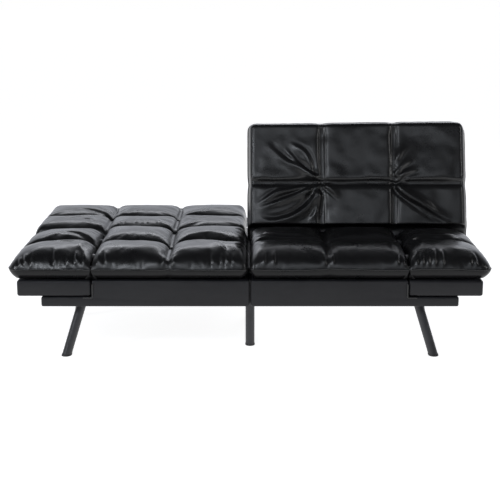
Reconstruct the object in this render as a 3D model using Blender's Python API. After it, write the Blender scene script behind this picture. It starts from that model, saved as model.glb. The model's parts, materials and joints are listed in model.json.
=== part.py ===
"""Click-clack futon sofa bed: two mirrored halves on one set of steel legs.

Each half has a fixed seat box with a low ledge at its outer end, an arm that folds up off that ledge, and a
back that folds up behind the seat. "left" is the half at -X and "right" the half at +X, seen from the front.
Metres, +Z up, +Y towards the rear. The origin is on the floor under the middle of the flat bed.
The left back lies flat and the right back is raised; both arms lie flat.
"""

import math

import bmesh
import bpy
from mathutils import Matrix, Vector

# Driving dimensions
BED_DEPTH = 1.019
BED_WIDTH = 1.852
PAD_THICKNESS = 0.115
PAD_OVERHANG = 0.0125  # pads past the front of the boxes
BOX_BOTTOM = 0.204
BOX_TOP = 0.307
LEDGE_TOP = 0.242
ARM_BLOCK_BOTTOM = 0.2445
BACK_BLOCK_BOTTOM = 0.227
HALF_GAP = 0.003  # from the middle plane to each half
FULL_BOX_END = 0.6035  # outer end of the full-height part of a seat box
LEDGE_END = 0.7985
ARM_BLOCK_END = 0.8897
BACK_PAD_END = 0.9143
RAISE_DEG = 70.0
ARM_SWING_DEG = 90.0

# Places worked out from them
PAD_FRONT = -BED_DEPTH / 2
PAD_REAR = BED_DEPTH / 2
PAD_END = BED_WIDTH / 2
FRONT = PAD_FRONT + PAD_OVERHANG
BACK_AXIS_Y = FRONT + 0.5134
BACK_AXIS_Z = BOX_TOP + 0.050
ARM_AXIS_X = 0.605
ARM_AXIS_Z = BOX_TOP + 0.068
PAD_BOTTOM = BOX_TOP + 0.0045
PAD_TOP = PAD_BOTTOM + PAD_THICKNESS
ARM_BLOCK_START = ARM_AXIS_X + 0.0015
ARM_BLOCK_REAR = BACK_AXIS_Y - 0.075
ARM_PAD_REAR = BACK_AXIS_Y - 0.0505  # a raised arm swings clear of a raised back's foot
BACK_HINGE_X = {"inner": HALF_GAP + 0.070, "outer": FULL_BOX_END - 0.110}
ARM_HINGE_Y = {"front": FRONT + 0.090, "rear": BACK_AXIS_Y - 0.160}

# Free edges of the pads: how far the crowned top comes down, how far in it starts, and the tuck below
FRONT_CROWN = (0.060, 0.055, 0.030)
INNER_CROWN = (0.050, 0.030, 0.020)
BACK_END_CROWN = (0.060, 0.065, 0.030)
ARM_END_CROWN = (0.060, 0.085, 0.035)
ARM_REAR_CROWN = (0.040, 0.020, 0.030)

# Legs: the foot and the top of each, as (x, y) for the outer ones and y for the centre ones
OUTER_LEGS = {
    "front": ((0.713, FRONT + 0.030), (0.652, FRONT + 0.085)),
    "rear": ((0.747, FRONT + 0.600), (0.700, FRONT + 0.463)),
}
CENTRE_LEGS = {
    "front": (FRONT + 0.168, FRONT + 0.168),
    "rear": (FRONT + 0.585, FRONT + 0.463),
}

# Walls, gaps and hardware
BOX_WALL = 0.012
BLOCK_WALL = 0.008
TUBE = 0.022
FIT_GAP = 0.0003
HINGE_GAP = 0.004  # from the back's axis plane to the box and to the block
PANEL = 0.002
DECK = 0.010
CHANNEL = 0.018  # half width of the slot between two pads that the hinge ears stand in
MITRE_GAP = 0.002  # from a pad's mitred face to the plane that halves the fold
EAR = 0.004
EAR_RADIUS = 0.013
EAR_STRIP = (0.006, 0.0165)  # an ear's foot, measured level from the fold's plane
EAR_WRAP_DEG = 235  # the eye's arc, from level on the strip's side round to its underside
LEAF_GAP = 0.0005
FLANGE_REACH = 0.070
FLANGE_WIDTH = 0.050
FLANGE_SHEET = 0.003
PIN_RADIUS = 0.005
PIN_CLEARANCE = 0.0003
PIN_HEAD = 0.008
PIN_HEAD_DEPTH = 0.003
PIN_SET_BACK = 0.001  # a riveted pin's near end, inside its own leaf
PIN_REACH = 0.003  # its far end, past the moving leaf
LEG_RADIUS = 0.018
LEG_WALL = 0.002
LEG_PLATE = 0.004
LEG_PLATE_HALF = (0.045, 0.035)
FOOT_RADIUS = 0.0192
FOOT_HEIGHT = 0.008
FOOT_EDGE = 0.0015
PLUG_TOP = 0.030
PLUG_CLEARANCE = 0.0006
SIDES = {"left": -1, "right": 1}
ROUND = 20  # segments of a turned piece

MATERIALS = {
    "pad_leather": ((0.018, 0.018, 0.020), 0.36, 0.0),
    "box_leather": ((0.020, 0.020, 0.022), 0.40, 0.0),
    "black_steel": ((0.030, 0.030, 0.032), 0.45, 0.6),
    "hinge_steel": ((0.30, 0.30, 0.31), 0.38, 1.0),
    "plywood": ((0.55, 0.40, 0.24), 0.60, 0.0),
    "lining": ((0.03, 0.03, 0.03), 0.90, 0.0),
    "foot_plastic": ((0.015, 0.015, 0.016), 0.55, 0.0),
}


# Scene helpers
def clear_scene():
    for old in list(bpy.data.objects):
        bpy.data.objects.remove(old, do_unlink=True)


def material(name):
    found = bpy.data.materials.get(name)
    if found:
        return found
    colour, roughness, metallic = MATERIALS[name]
    made = bpy.data.materials.new(name)
    made.use_nodes = True
    shader = made.node_tree.nodes["Principled BSDF"]
    shader.inputs["Base Color"].default_value = (*colour, 1.0)
    shader.inputs["Roughness"].default_value = roughness
    shader.inputs["Metallic"].default_value = metallic
    made.diffuse_color = (*colour, 1.0)
    return made


def axis_empty(name, place, tilt_deg=0.0):
    """An empty on a joint's axis; tilt_deg turns what it carries about +X."""
    empty = bpy.data.objects.new(name, None)
    empty.empty_display_size = 0.05
    empty.location = place
    empty.rotation_euler.x = math.radians(tilt_deg)
    bpy.context.scene.collection.objects.link(empty)
    return empty


def add(name, bm, finish, axis=None):
    """Makes the object. bm is in world places, with a folding piece lying flat.

    axis is the empty that carries a folding piece."""
    if axis:
        bmesh.ops.translate(bm, verts=bm.verts, vec=-axis.location)
    bmesh.ops.recalc_face_normals(bm, faces=bm.faces)
    mesh = bpy.data.meshes.new(name)
    bm.to_mesh(mesh)
    bm.free()
    mesh.shade_smooth()
    mesh.set_sharp_from_angle(angle=math.radians(30))
    mesh.materials.append(material(finish))
    made = bpy.data.objects.new(name, mesh)
    made.parent = axis
    bpy.context.scene.collection.objects.link(made)
    return made


def bevel(made, width, segments=2, angle_deg=20):
    modifier = made.modifiers.new("edges", "BEVEL")
    modifier.width = width
    modifier.segments = segments
    modifier.limit_method = "ANGLE"
    modifier.angle_limit = math.radians(angle_deg)


def boolean(made, other, operation):
    other.hide_render = True
    other.display_type = "WIRE"
    modifier = made.modifiers.new(other.name, "BOOLEAN")
    modifier.operation = operation
    modifier.object = other


# Shapes
def block(low, high):
    """A box between two corners."""
    bm = bmesh.new()
    bmesh.ops.create_cube(bm, size=1.0)
    low, high = Vector(low), Vector(high)
    for vert in bm.verts:
        vert.co = [low[i] + (vert.co[i] + 0.5) * (high[i] - low[i]) for i in range(3)]
    return bm


def side_block(sign, low, high):
    """A block given for the +X half, mirrored when sign is -1."""
    ends = sorted((sign * low[0], sign * high[0]))
    return block((ends[0], *low[1:]), (ends[1], *high[1:]))


def prism(outline, low, high, place):
    """A closed outline of (u, v) pushed from w = low to w = high; place maps (u, v, w) to a world point."""
    bm = bmesh.new()
    rings = [[bm.verts.new(place(u, v, w)) for u, v in outline] for w in (low, high)]
    count = len(outline)
    for i in range(count):
        j = (i + 1) % count
        bm.faces.new((rings[0][i], rings[0][j], rings[1][j], rings[1][i]))
    bm.faces.new(rings[0])
    bm.faces.new(rings[1])
    return bm


def trimmed(bm, cuts):
    """Cuts a convex solid by planes, each a (point, outward normal), and caps each cut."""
    for point, normal in cuts:
        everything = bm.verts[:] + bm.edges[:] + bm.faces[:]
        cut = bmesh.ops.bisect_plane(
            bm, geom=everything, plane_co=point, plane_no=normal, clear_outer=True, dist=1e-6
        )
        edges = [item for item in cut["geom_cut"] if isinstance(item, bmesh.types.BMEdge)]
        bmesh.ops.contextual_create(bm, geom=edges)
    return bm


def lattice(xs, ys, zs, filled):
    """The skin of a grid of cells: filled(i, j, k) says whether a cell holds material."""
    bm = bmesh.new()
    corners = {}

    def corner(i, j, k):
        if (i, j, k) not in corners:
            corners[i, j, k] = bm.verts.new((xs[i], ys[j], zs[k]))
        return corners[i, j, k]

    def solid(cell):
        inside = all(0 <= n < len(side) - 1 for n, side in zip(cell, (xs, ys, zs)))
        return inside and filled(*cell)

    across = {0: ((0, 0, 0), (0, 1, 0), (0, 1, 1), (0, 0, 1))}
    across[1] = tuple((b, a, c) for a, b, c in across[0])
    across[2] = tuple((b, c, a) for a, b, c in across[0])
    for i in range(len(xs) - 1):
        for j in range(len(ys) - 1):
            for k in range(len(zs) - 1):
                if not solid((i, j, k)):
                    continue
                for direction in range(3):
                    for far in (0, 1):
                        beside = [i, j, k]
                        beside[direction] += 2 * far - 1
                        if solid(tuple(beside)):
                            continue
                        ring = []
                        for offset in across[direction]:
                            at = [i + offset[0], j + offset[1], k + offset[2]]
                            at[direction] = (i, j, k)[direction] + far
                            ring.append(corner(*at))
                        bm.faces.new(ring)
    return bm


def bars(low, high, inner, width):
    """Grid lines for a frame: its two ends, and bars of this width centred on the inner places."""
    lines = [low, low + width]
    for place in inner:
        lines += [place - width / 2, place + width / 2]
    return lines + [high - width, high]


def leaning_turn(profile, foot, top, closed=False):
    """Turns (radius, z) points about the line from foot to top, with every section cut level.

    A round tube cut level shows an ellipse, longer the way it leans."""
    bm = bmesh.new()
    line = Vector(top) - Vector(foot)
    level = Vector((line.x, line.y, 0.0))
    lean = level.normalized() if level.length > 1e-9 else Vector((1.0, 0.0, 0.0))
    cross = Vector((-lean.y, lean.x, 0.0))
    stretch = line.length / line.z
    rings = []
    for radius, z in profile:
        centre = Vector(foot) + line * ((z - foot[2]) / line.z)
        if radius == 0.0:
            rings.append([bm.verts.new(centre)])
            continue
        ring = []
        for i in range(ROUND):
            angle = 2 * math.pi * i / ROUND
            along = radius * stretch * math.cos(angle)
            ring.append(bm.verts.new(centre + lean * along + cross * (radius * math.sin(angle))))
        rings.append(ring)
    pairs = list(zip(rings, rings[1:]))
    if closed:
        pairs.append((rings[-1], rings[0]))
    for lower, upper in pairs:
        for i in range(ROUND):
            j = (i + 1) % ROUND
            near = [lower[i % len(lower)], lower[j % len(lower)]]
            far = [upper[j % len(upper)], upper[i % len(upper)]]
            bm.faces.new(list(dict.fromkeys(near + far)))
    return bm


# Boxes, blocks and what is inside them
def open_shell(name, sign, steps, y_range, wall, floor, axis=None):
    """A wrapped box, open underneath. steps are its outer (x, top) corners from the middle outwards."""
    y_low, y_high = y_range
    start = steps[0][0]

    def outline(inset, bottom):
        points = [(start + inset, bottom)]
        x_from = start + inset
        for x_to, top in steps[1:]:
            points += [(x_from, top - inset), (x_to - inset, top - inset)]
            x_from = x_to - inset
        points.append((steps[-1][0] - inset, bottom))
        return points

    def place(u, v, w):
        return (sign * u, w, v)

    shell = add(name, prism(outline(0.0, floor), y_low, y_high, place), "box_leather", axis)
    bevel(shell, 0.006, segments=3)
    hollow = prism(outline(wall, floor - 0.02), y_low + wall, y_high - wall, place)
    boolean(shell, add(name + "_hollow", hollow, "box_leather", axis), "DIFFERENCE")
    return shell


def seat_base(side, sign):
    y_low, y_high = FRONT, BACK_AXIS_Y - HINGE_GAP
    steps = [(HALF_GAP, 0), (FULL_BOX_END, BOX_TOP), (LEDGE_END, LEDGE_TOP)]
    open_shell(f"seat_box_{side}", sign, steps, (y_low, y_high), BOX_WALL, BOX_BOTTOM)
    inner = BOX_WALL + FIT_GAP
    x_in, x_full, x_end = HALF_GAP + inner, FULL_BOX_END - inner, LEDGE_END - inner
    y_in, y_out = y_low + inner, y_high - inner
    panel_top = BOX_BOTTOM + FIT_GAP + PANEL
    lining = side_block(sign, (x_in, y_in, BOX_BOTTOM + FIT_GAP), (x_end, y_out, panel_top))
    add(f"dust_cover_{side}", lining, "lining")
    seat_frame(side, sign, (x_in, x_full, x_end), (y_in, y_out), panel_top + FIT_GAP)
    seat_deck(side, sign, (x_in, x_full), (y_in, y_out))


def seat_frame(side, sign, x_places, y_places, bottom):
    """Lower ladder over the whole box, posts, and an upper ring that carries the deck."""
    x_in, x_full, x_end = x_places
    y_in, y_out = y_places
    middle = (x_in + x_full) / 2
    xs = [x_in, x_in + TUBE, middle - TUBE / 2, middle + TUBE / 2, x_full - TUBE, x_full, x_end - TUBE, x_end]
    ys = [y_in, y_in + TUBE, y_out - TUBE, y_out]
    deck_bottom = BOX_TOP - BOX_WALL - DECK - 2 * FIT_GAP
    zs = [bottom, bottom + TUBE, deck_bottom - TUBE, deck_bottom]

    def filled(i, j, k):
        rail, cross = j in (0, 2), i in (0, 2, 4)
        if k == 0:
            return rail or cross or i == 6
        return i <= 4 and (rail and cross if k == 1 else rail or cross)

    bm = lattice([sign * x for x in xs], ys, zs, filled)
    add(f"seat_frame_{side}", bm, "black_steel")


def seat_deck(side, sign, x_places, y_places):
    """Plywood deck on the upper ring, cut with slots that let the foam above breathe."""
    slots = 5
    x_in, x_out = x_places
    y_in, y_out = y_places
    pitch = (x_out - x_in) / slots
    xs = []
    for slot in range(slots):
        start = x_in + slot * pitch
        xs += [start, start + 0.3 * pitch, start + 0.7 * pitch]
    xs.append(x_out)
    ys = [y_in, y_in + 0.08, y_out - 0.08, y_out]
    top = BOX_TOP - BOX_WALL - FIT_GAP
    bm = lattice([sign * x for x in xs], ys, [top - DECK, top], lambda i, j, k: j != 1 or i % 3 != 1)
    add(f"seat_deck_{side}", bm, "plywood")


def folding_block(kind, side, sign, x_range, y_range, bottom, axis):
    """The wrapped block under a folding pad: open shell, steel frame inside, and a lining underneath."""
    x_low, x_high = x_range
    y_low, y_high = y_range
    steps = [(x_low, 0), (x_high, BOX_TOP)]
    open_shell(f"{kind}_block_{side}", sign, steps, y_range, BLOCK_WALL, bottom, axis)
    inner = BLOCK_WALL + FIT_GAP
    panel_top = bottom + FIT_GAP + PANEL
    low = (x_low + inner, y_low + inner, bottom + FIT_GAP)
    lining = side_block(sign, low, (x_high - inner, y_high - inner, panel_top))
    add(f"{kind}_cover_{side}", lining, "lining", axis)
    middles = [(x_low + x_high) / 2] if kind == "back" else []
    xs = bars(x_low + inner, x_high - inner, middles, TUBE)
    ys = bars(y_low + inner, y_high - inner, [], TUBE)
    top = BOX_TOP - inner

    def filled(i, j, k):
        return i % 2 == 0 or j % 2 == 0

    bm = lattice([sign * x for x in xs], ys, [top - TUBE, top], filled)
    add(f"{kind}_frame_{side}", bm, "black_steel", axis)


# Pads
def mitre_cuts(axis_point, outward, half_angle):
    """Two planes that end a pad at a fold: the channel's wall, and above it the slanted face.

    outward is the level unit vector from the pad to the fold's axis."""
    outward = Vector(outward)
    wall = Vector(axis_point) - outward * CHANNEL
    slanted = (outward * math.cos(half_angle) + Vector((0, 0, 1)) * math.sin(half_angle)).normalized()
    return [(wall, outward), (Vector(axis_point) - slanted * MITRE_GAP, slanted)]


def free_edge_cuts(edge_point, outward, crown):
    """The crowned top edge and the tucked lower edge of a pad's free side."""
    drop, reach, under = crown
    outward = Vector(outward)
    up = Vector((0, 0, 1))
    top = Vector(edge_point) + up * (PAD_TOP - drop)
    bottom = Vector(edge_point) + up * (PAD_BOTTOM + under)
    upper = (outward * drop + up * reach).normalized()
    lower = (outward * under - up * 0.5 * reach).normalized()
    return [(top, upper), (bottom, lower)]


def pad(name, sign, x_range, y_range, cuts, axis=None):
    low = (x_range[0], y_range[0], PAD_BOTTOM)
    bm = trimmed(block(low, (x_range[1], y_range[1], PAD_TOP)), cuts)
    if sign < 0:
        bmesh.ops.transform(bm, matrix=Matrix.Scale(-1, 4, (1, 0, 0)), verts=bm.verts)
    made = add(name, bm, "pad_leather", axis)
    bevel(made, 0.012, segments=3, angle_deg=12)
    return made


def fold_angles():
    return math.radians(RAISE_DEG) / 2, math.radians(ARM_SWING_DEG) / 2


def seat_pad(side, sign):
    back_half, arm_half = fold_angles()
    cuts = mitre_cuts((0, BACK_AXIS_Y, BACK_AXIS_Z), (0, 1, 0), back_half)
    cuts += mitre_cuts((ARM_AXIS_X, 0, ARM_AXIS_Z), (1, 0, 0), arm_half)
    cuts += free_edge_cuts((0, PAD_FRONT, 0), (0, -1, 0), FRONT_CROWN)
    cuts += free_edge_cuts((HALF_GAP, 0, 0), (-1, 0, 0), INNER_CROWN)
    pad(f"seat_pad_{side}", sign, (HALF_GAP, ARM_AXIS_X), (PAD_FRONT, BACK_AXIS_Y), cuts)


def arm_pad(side, sign, axis):
    _, arm_half = fold_angles()
    cuts = mitre_cuts((ARM_AXIS_X, 0, ARM_AXIS_Z), (-1, 0, 0), arm_half)
    cuts += free_edge_cuts((0, PAD_FRONT, 0), (0, -1, 0), FRONT_CROWN)
    cuts += free_edge_cuts((0, ARM_PAD_REAR, 0), (0, 1, 0), ARM_REAR_CROWN)
    cuts += free_edge_cuts((PAD_END, 0, 0), (1, 0, 0), ARM_END_CROWN)
    pad(f"arm_pad_{side}", sign, (ARM_AXIS_X, PAD_END), (PAD_FRONT, ARM_PAD_REAR), cuts, axis)


def back_pad(side, sign, axis):
    back_half, _ = fold_angles()
    cuts = mitre_cuts((0, BACK_AXIS_Y, BACK_AXIS_Z), (0, -1, 0), back_half)
    cuts += free_edge_cuts((0, PAD_REAR, 0), (0, 1, 0), FRONT_CROWN)
    cuts += free_edge_cuts((HALF_GAP, 0, 0), (-1, 0, 0), INNER_CROWN)
    cuts += free_edge_cuts((BACK_PAD_END, 0, 0), (1, 0, 0), BACK_END_CROWN)
    pad(f"back_pad_{side}", sign, (HALF_GAP, BACK_PAD_END), (BACK_AXIS_Y, PAD_REAR), cuts, axis)


# Hinges
def ear_outline(height):
    """An ear in its own plane: u away from the fold, v up, with the pin's centre at (0, 0)."""
    near, far = EAR_STRIP
    points = [(near, -height), (far, -height)]
    for i in range(ROUND - 3):
        angle = math.radians(EAR_WRAP_DEG) * i / (ROUND - 4)
        points.append((EAR_RADIUS * math.cos(angle), EAR_RADIUS * math.sin(angle)))
    return points


def disc(radius, low, high, place):
    circle = [2 * math.pi * i / ROUND for i in range(ROUND)]
    outline = [(radius * math.cos(a), radius * math.sin(a)) for a in circle]
    return prism(outline, low, high, place)


def leaf(name, height, w_range, flange_w, place, axis=None, pin=None):
    """One leaf: an upright ear with a round eye, on a flange that screws down under the pad.

    place maps (u, v, w) to a world point: u level, away from the fold; v up; w along the pin."""
    low, high = w_range
    ear = add(name, prism(ear_outline(height), low, high, place), "hinge_steel", axis)
    sheet = [(EAR_STRIP[0], -height), (FLANGE_REACH, -height)]
    sheet += [(u, v + FLANGE_SHEET) for u, v in reversed(sheet)]
    flange = add(name + "_flange", prism(sheet, *flange_w, place), "hinge_steel", axis)
    boolean(ear, flange, "UNION")
    if pin:
        boolean(ear, add(name + "_pin", disc(PIN_RADIUS, *pin, place), "hinge_steel", axis), "UNION")
    else:
        eye = disc(PIN_RADIUS + PIN_CLEARANCE, low - 0.01, high + 0.01, place)
        boolean(ear, add(name + "_eye", eye, "hinge_steel", axis), "DIFFERENCE")


def flange_span(middle):
    return (middle - FLANGE_WIDTH / 2, middle + FLANGE_WIDTH / 2)


def back_hinges(side, sign, axis):
    """Two hinges on one axis along X, each a fixed leaf, a moving leaf and a headed pin."""
    height = BACK_AXIS_Z - BOX_TOP - FIT_GAP
    for which, x in BACK_HINGE_X.items():
        fixed = (x, x + EAR)
        moving = (fixed[1] + LEAF_GAP, fixed[1] + LEAF_GAP + EAR)

        def fixed_place(u, v, w):
            return (sign * w, BACK_AXIS_Y - u, BACK_AXIS_Z + v)

        def moving_place(u, v, w):
            return (sign * w, BACK_AXIS_Y + u, BACK_AXIS_Z + v)

        name = f"back_hinge_{which}_{side}"
        leaf(name + "_fixed_leaf", height, fixed, flange_span(x), fixed_place)
        leaf(name + "_moving_leaf", height, moving, flange_span(x), moving_place, axis)
        low, high = fixed[0] - LEAF_GAP, moving[1] + LEAF_GAP
        pin = add(name + "_pin", disc(PIN_RADIUS, low, high, fixed_place), "hinge_steel")
        for end, start in (("near", low - PIN_HEAD_DEPTH), ("far", high)):
            head = disc(PIN_HEAD, start, start + PIN_HEAD_DEPTH, fixed_place)
            boolean(pin, add(f"{name}_{end}_head", head, "hinge_steel"), "UNION")


def arm_hinges(side, sign, axis):
    """Two hinges on one axis along Y; the fixed leaf carries its riveted pin."""
    height = ARM_AXIS_Z - BOX_TOP - FIT_GAP
    for which, y in ARM_HINGE_Y.items():
        fixed = (y, y + EAR)
        moving = (fixed[1] + LEAF_GAP, fixed[1] + LEAF_GAP + EAR)

        def fixed_place(u, v, w):
            return (sign * (ARM_AXIS_X - u), w, ARM_AXIS_Z + v)

        def moving_place(u, v, w):
            return (sign * (ARM_AXIS_X + u), w, ARM_AXIS_Z + v)

        name = f"arm_hinge_{which}_{side}"
        pin = (fixed[0] + PIN_SET_BACK, moving[1] + PIN_REACH)
        leaf(name + "_fixed_leaf", height, fixed, flange_span(y), fixed_place, pin=pin)
        leaf(name + "_moving_leaf", height, moving, flange_span(y), moving_place, axis)


# Legs
def leg(name, foot, top):
    """A leaning steel tube, open at the foot and welded to a plate, with a plastic cap plugged into it."""
    plate_top = BOX_BOTTOM - FIT_GAP
    plate_bottom = plate_top - LEG_PLATE
    bore = LEG_RADIUS - LEG_WALL
    tube = [
        (bore, FOOT_HEIGHT),
        (LEG_RADIUS, FOOT_HEIGHT),
        (LEG_RADIUS, plate_bottom + 0.002),
        (bore, plate_bottom - 0.001),
    ]
    walls = leaning_turn(tube, foot, top, closed=True)
    made = add(name, walls, "black_steel")
    (x, y), (half_x, half_y) = top[:2], LEG_PLATE_HALF
    plate = block((x - half_x, y - half_y, plate_bottom), (x + half_x, y + half_y, plate_top))
    boolean(made, add(name + "_plate", plate, "black_steel"), "UNION")
    plug = bore - PLUG_CLEARANCE
    cap = [
        (0.0, 0.0),
        (FOOT_RADIUS - FOOT_EDGE, 0.0),
        (FOOT_RADIUS, FOOT_EDGE),
        (FOOT_RADIUS, FOOT_HEIGHT - FIT_GAP),
        (plug, FOOT_HEIGHT - FIT_GAP),
        (plug, PLUG_TOP),
        (0.0, PLUG_TOP),
    ]
    add(name.replace("leg", "foot_cap"), leaning_turn(cap, foot, top), "foot_plastic")


def legs():
    plate_level = BOX_BOTTOM - FIT_GAP
    for row in ("front", "rear"):
        (foot_x, foot_y), (top_x, top_y) = OUTER_LEGS[row]
        for side, sign in SIDES.items():
            foot, top = (sign * foot_x, foot_y, 0.0), (sign * top_x, top_y, plate_level)
            leg(f"leg_{row}_{side}", foot, top)
        foot_y, top_y = CENTRE_LEGS[row]
        leg(f"leg_{row}_centre", (0.0, foot_y, 0.0), (0.0, top_y, plate_level))


def half(side, sign):
    arm_axis = axis_empty(f"arm_axis_{side}", (sign * ARM_AXIS_X, 0, ARM_AXIS_Z))
    back_axis = axis_empty(f"back_axis_{side}", (0, BACK_AXIS_Y, BACK_AXIS_Z))
    seat_base(side, sign)
    seat_pad(side, sign)
    arm_x, arm_y = (ARM_BLOCK_START, ARM_BLOCK_END), (FRONT, ARM_BLOCK_REAR)
    folding_block("arm", side, sign, arm_x, arm_y, ARM_BLOCK_BOTTOM, arm_axis)
    arm_pad(side, sign, arm_axis)
    arm_hinges(side, sign, arm_axis)
    back_y = (BACK_AXIS_Y + HINGE_GAP, PAD_REAR - PAD_OVERHANG)
    folding_block("back", side, sign, (HALF_GAP, ARM_BLOCK_END), back_y, BACK_BLOCK_BOTTOM, back_axis)
    back_pad(side, sign, back_axis)
    back_hinges(side, sign, back_axis)
    if side == "right":
        back_axis.rotation_euler.x = math.radians(RAISE_DEG)


clear_scene()
for half_side, half_sign in SIDES.items():
    half(half_side, half_sign)
legs()
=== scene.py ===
"""Looks of the futon sofa bed: tufted leather pads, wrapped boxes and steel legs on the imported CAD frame.

Metres, +Z up, +Y towards the rear. Pads are shaped lying flat, in the +X half's own places, and mirrored for
the left half; the right back is then raised about its hinge line to where the frame holds it.
"""

import json
import math

import bmesh
import bpy
import numpy as np
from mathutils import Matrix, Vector, noise


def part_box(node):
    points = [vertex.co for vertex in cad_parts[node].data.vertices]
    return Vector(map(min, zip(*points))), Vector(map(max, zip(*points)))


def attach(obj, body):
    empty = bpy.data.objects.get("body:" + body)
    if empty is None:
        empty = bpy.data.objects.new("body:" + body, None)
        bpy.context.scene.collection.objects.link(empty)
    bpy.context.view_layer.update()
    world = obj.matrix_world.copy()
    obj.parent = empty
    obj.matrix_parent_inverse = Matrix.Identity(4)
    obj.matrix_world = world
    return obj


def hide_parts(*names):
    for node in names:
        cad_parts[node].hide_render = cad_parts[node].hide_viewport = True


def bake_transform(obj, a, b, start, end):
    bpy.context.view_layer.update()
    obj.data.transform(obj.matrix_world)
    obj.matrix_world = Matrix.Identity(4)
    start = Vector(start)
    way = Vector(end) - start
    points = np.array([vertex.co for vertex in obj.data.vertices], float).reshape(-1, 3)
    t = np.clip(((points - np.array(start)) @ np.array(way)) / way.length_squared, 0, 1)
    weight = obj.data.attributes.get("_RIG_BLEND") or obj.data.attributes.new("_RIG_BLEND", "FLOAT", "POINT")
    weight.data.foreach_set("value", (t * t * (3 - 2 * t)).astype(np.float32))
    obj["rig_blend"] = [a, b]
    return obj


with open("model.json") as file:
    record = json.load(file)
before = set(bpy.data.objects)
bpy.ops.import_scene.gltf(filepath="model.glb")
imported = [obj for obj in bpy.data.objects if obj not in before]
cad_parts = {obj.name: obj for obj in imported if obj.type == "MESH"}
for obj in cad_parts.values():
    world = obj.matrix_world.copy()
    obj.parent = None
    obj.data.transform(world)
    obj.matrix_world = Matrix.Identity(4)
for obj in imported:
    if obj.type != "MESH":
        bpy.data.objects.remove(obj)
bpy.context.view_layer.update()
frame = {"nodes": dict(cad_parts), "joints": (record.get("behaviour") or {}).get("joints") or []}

# Places taken from the frame
JOINTS = {joint["name"]: joint for joint in frame["joints"]}
BACK_AXIS = Vector(JOINTS["right_back_fold"]["pos_m"])
ARM_AXIS = Vector(JOINTS["right_arm_fold"]["pos_m"])
RAISE = -math.radians(JOINTS["right_back_fold"]["range_deg"][0])
SEAT_LOW, SEAT_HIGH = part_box("seat_pad_right")
ARM_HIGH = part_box("arm_pad_right")[1]
FLAT_BACK_LOW, FLAT_BACK_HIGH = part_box("back_pad_left")
BOX_LOW, BOX_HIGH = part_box("seat_box_right")
SIDES = {"left": -1, "right": 1}

# Pads
PAD_BASE = SEAT_LOW.z + 0.0008
PAD_TOP = SEAT_HIGH.z - 0.0085  # before the filling swells it
WELT_Z = 0.3485
FOLD_Z = 0.374
SEAM_B = {"left": 0.315, "right": 0.302}  # seam between the inner and the middle column
ROW_1 = SEAT_LOW.y + 0.2525  # seam between the front row and the second
ROW_3 = {"left": BACK_AXIS.y + 0.24, "right": BACK_AXIS.y + 0.231}
EDGE_IN = 0.004  # the sewn edge stands this far inside the swollen pad's reach
GRID = 0.007
# Seams: how far they draw the skin down, over what width, and half the width of their own flat band
DEEP_SEAM = (0.034, 0.07, 0.0048)
SLACK_SEAM = (0.02, 0.042, 0.0048)
BACK_SEAM = {"left": (0.026, 0.05, 0.0048), "right": (0.013, 0.024, 0.0062)}
# How much the cloth shrinks (below zero, grows) as it settles, where it lies plain and where it was gathered
SEAT_FULLNESS = {"left": (-0.012, -0.06), "right": (-0.004, -0.035)}
ARM_FULLNESS = (-0.015, -0.08)
BACK_RADII = {"left": (0.034, 0.045, 0.055, 0.045), "right": (0.022, 0.03, 0.055, 0.028)}
BACK_FULLNESS = {"left": (0.0, -0.035), "right": (0.004, -0.014)}
SEAM_FADE = 0.075  # seams are shallower within this distance of a free edge
BAND_HEIGHT = 0.0024
NOTCH = 0.0035  # how far a seam's end draws the free edge in,
NOTCH_WIDTH = 0.022  # over what width,
NOTCH_REACH = 0.06  # and how far into the pad
GATHER_EDGE = 0.03
GATHER_CROSSING = 0.06
ABOVE_WELT = 0.012  # skin higher than this above the welt's line isn't part of the sewn outline
# The pad's side below its welt: (share of the height, how far it stands out)
SIDE_ROWS = ((0.12, -0.0008), (0.34, -0.0036), (0.66, -0.011), (1.0, -0.025))
SWELL_CAP = 0.024
FRAMES = 20
# Inner edges, from the middle plane outwards; the halves meet a little to the left of it
SEAT_INNER = {"left": 0.0065, "right": -0.0035}
BACK_INNER = {"left": 0.0135, "right": -0.0095}
BACK_RISE = {"left": 0.0, "right": 0.009}  # the far end's outer corner stands this much further out
BLEND_REACH = 0.06
ARM_REAR = -0.03

# Trims: welt, stitches, the flap behind each arm
WELT_RADIUS = 0.0023
STITCH = 0.0046
THREAD = 0.00045
STITCH_TAPER = 0.12
STITCH_FACES = ((0, 1, 5, 4), (1, 2, 6, 5), (2, 3, 7, 6), (3, 0, 4, 7), (3, 2, 1, 0), (4, 5, 6, 7))
BAR_FACES = ((0, 1, 2, 3), (7, 6, 5, 4), (0, 4, 5, 1), (1, 5, 6, 2), (2, 6, 7, 3), (3, 7, 4, 0))
FLAP_DEPTH = 0.012  # below the folds, and again as its sag
FLAP_SKIN = 0.0025

# Boxes and blocks
BOX_WALL, BLOCK_WALL = 0.012, 0.008
EDGE_ROUND = 0.01
STEP_FILLET = 0.007
PIPING = 0.0036
LINK_HALF = 0.0028
STAPLE = 0.01
STAPLE_WIRE = 0.0012
STAPLE_GAP = 0.065
STAPLE_INSET = 0.007

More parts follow.
